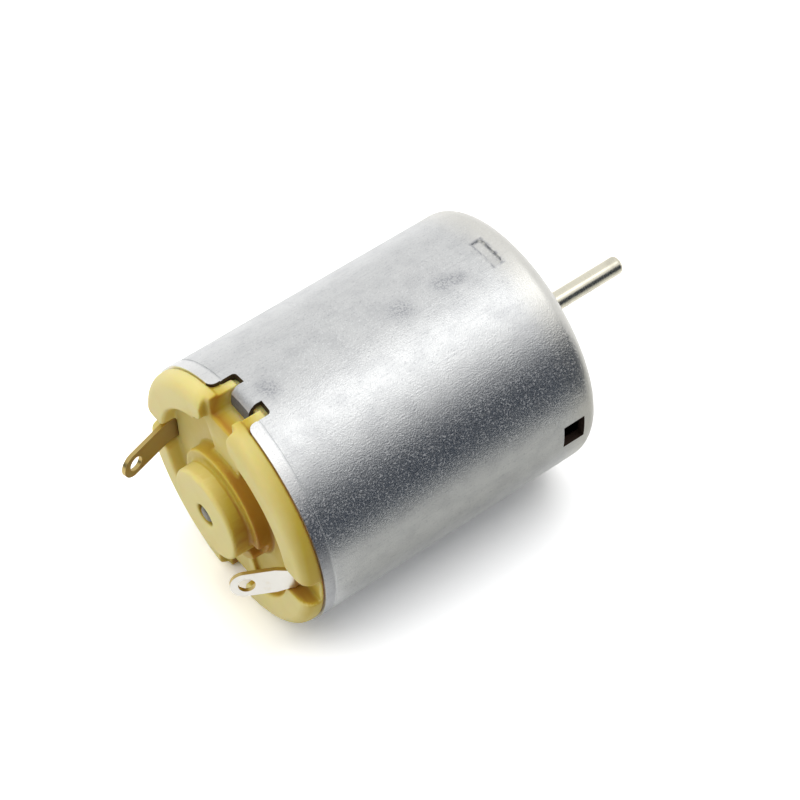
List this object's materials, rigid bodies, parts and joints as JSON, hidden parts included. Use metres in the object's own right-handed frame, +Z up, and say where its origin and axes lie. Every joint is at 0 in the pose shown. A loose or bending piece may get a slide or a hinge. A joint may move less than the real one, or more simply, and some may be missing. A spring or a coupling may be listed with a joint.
{
  "type": "dc motor",
  "caption": "Round-can brushed dc motor lying on its side, with a plain output shaft at the front and solder-lug terminals on a moulded plastic rear cap.",
  "frame": {"origin": "centre of the front mounting face, on the shaft's axis, midway between the screw holes", "axes": "+X along the output shaft out of the front, +Y to the left through a side window, +Z up through the upper crimp tongue"},
  "size_m": [0.0543, 0.0278, 0.0276],
  "materials": {
    "can_steel": "zinc-plated sheet steel with fine speckle and draw lines",
    "cap_plastic": "moulded cream plastic, slightly translucent",
    "bearing_bronze": "sintered bronze, oiled",
    "magnet_ferrite": "dark ceramic ferrite",
    "spring_steel": "spring steel strip",
    "terminal_brass": "tinned brass with bare sheared edges",
    "leaf_bronze": "phosphor bronze leaf",
    "brush_carbon": "pressed carbon",
    "shaft_steel": "ground bright steel",
    "core_steel": "stacked silicon steel sheets",
    "insulator_plastic": "green moulded insulator",
    "winding_copper": "enamelled copper wire",
    "commutator_moulding": "dark phenolic moulding",
    "segment_copper": "bare copper",
    "washer_nylon": "natural nylon"
  },
  "bodies": {
    "housing": {"can": "can_steel", "end_cap": "cap_plastic", "front_bearing": "bearing_bronze", "rear_bearing": "bearing_bronze", "magnet_upper": "magnet_ferrite", "magnet_lower": "magnet_ferrite", "magnet_clip_left": "spring_steel", "magnet_clip_right": "spring_steel", "terminal_left": "terminal_brass", "terminal_right": "terminal_brass"},
    "rotor": {"shaft": "shaft_steel", "lamination_stack": "core_steel", "insulator_front": "insulator_plastic", "insulator_rear": "insulator_plastic", "winding_1": "winding_copper", "winding_2": "winding_copper", "winding_3": "winding_copper", "commutator_hub": "commutator_moulding", "commutator_ring": "commutator_moulding", "commutator_segment_1": "segment_copper", "commutator_segment_2": "segment_copper", "commutator_segment_3": "segment_copper", "front_spacer": "washer_nylon", "front_washer": "washer_nylon", "rear_washer": "washer_nylon"},
    "left_brush_unit": {"brush_arm_left": "leaf_bronze", "brush_left": "brush_carbon"},
    "right_brush_unit": {"brush_arm_right": "leaf_bronze", "brush_right": "brush_carbon"}
  },
  "joints": [
    {"name": "rotor_spin", "type": "hinge", "parent": "housing", "child": "rotor", "pos_m": [0, 0, 0], "axis": [1, 0, 0], "continuous": true},
    {"name": "left_brush_flex", "type": "hinge", "parent": "housing", "child": "left_brush_unit", "pos_m": [-0.0272, 0.0046, 0.0054], "axis": [1, 0, 0], "range_deg": [0, 8], "stiffness_Nm_per_rad": 0.011, "springref_deg": -9.74},
    {"name": "right_brush_flex", "type": "hinge", "parent": "housing", "child": "right_brush_unit", "pos_m": [-0.0272, -0.0046, -0.0054], "axis": [1, 0, 0], "range_deg": [0, 8], "stiffness_Nm_per_rad": 0.011, "springref_deg": -9.74}
  ]
}
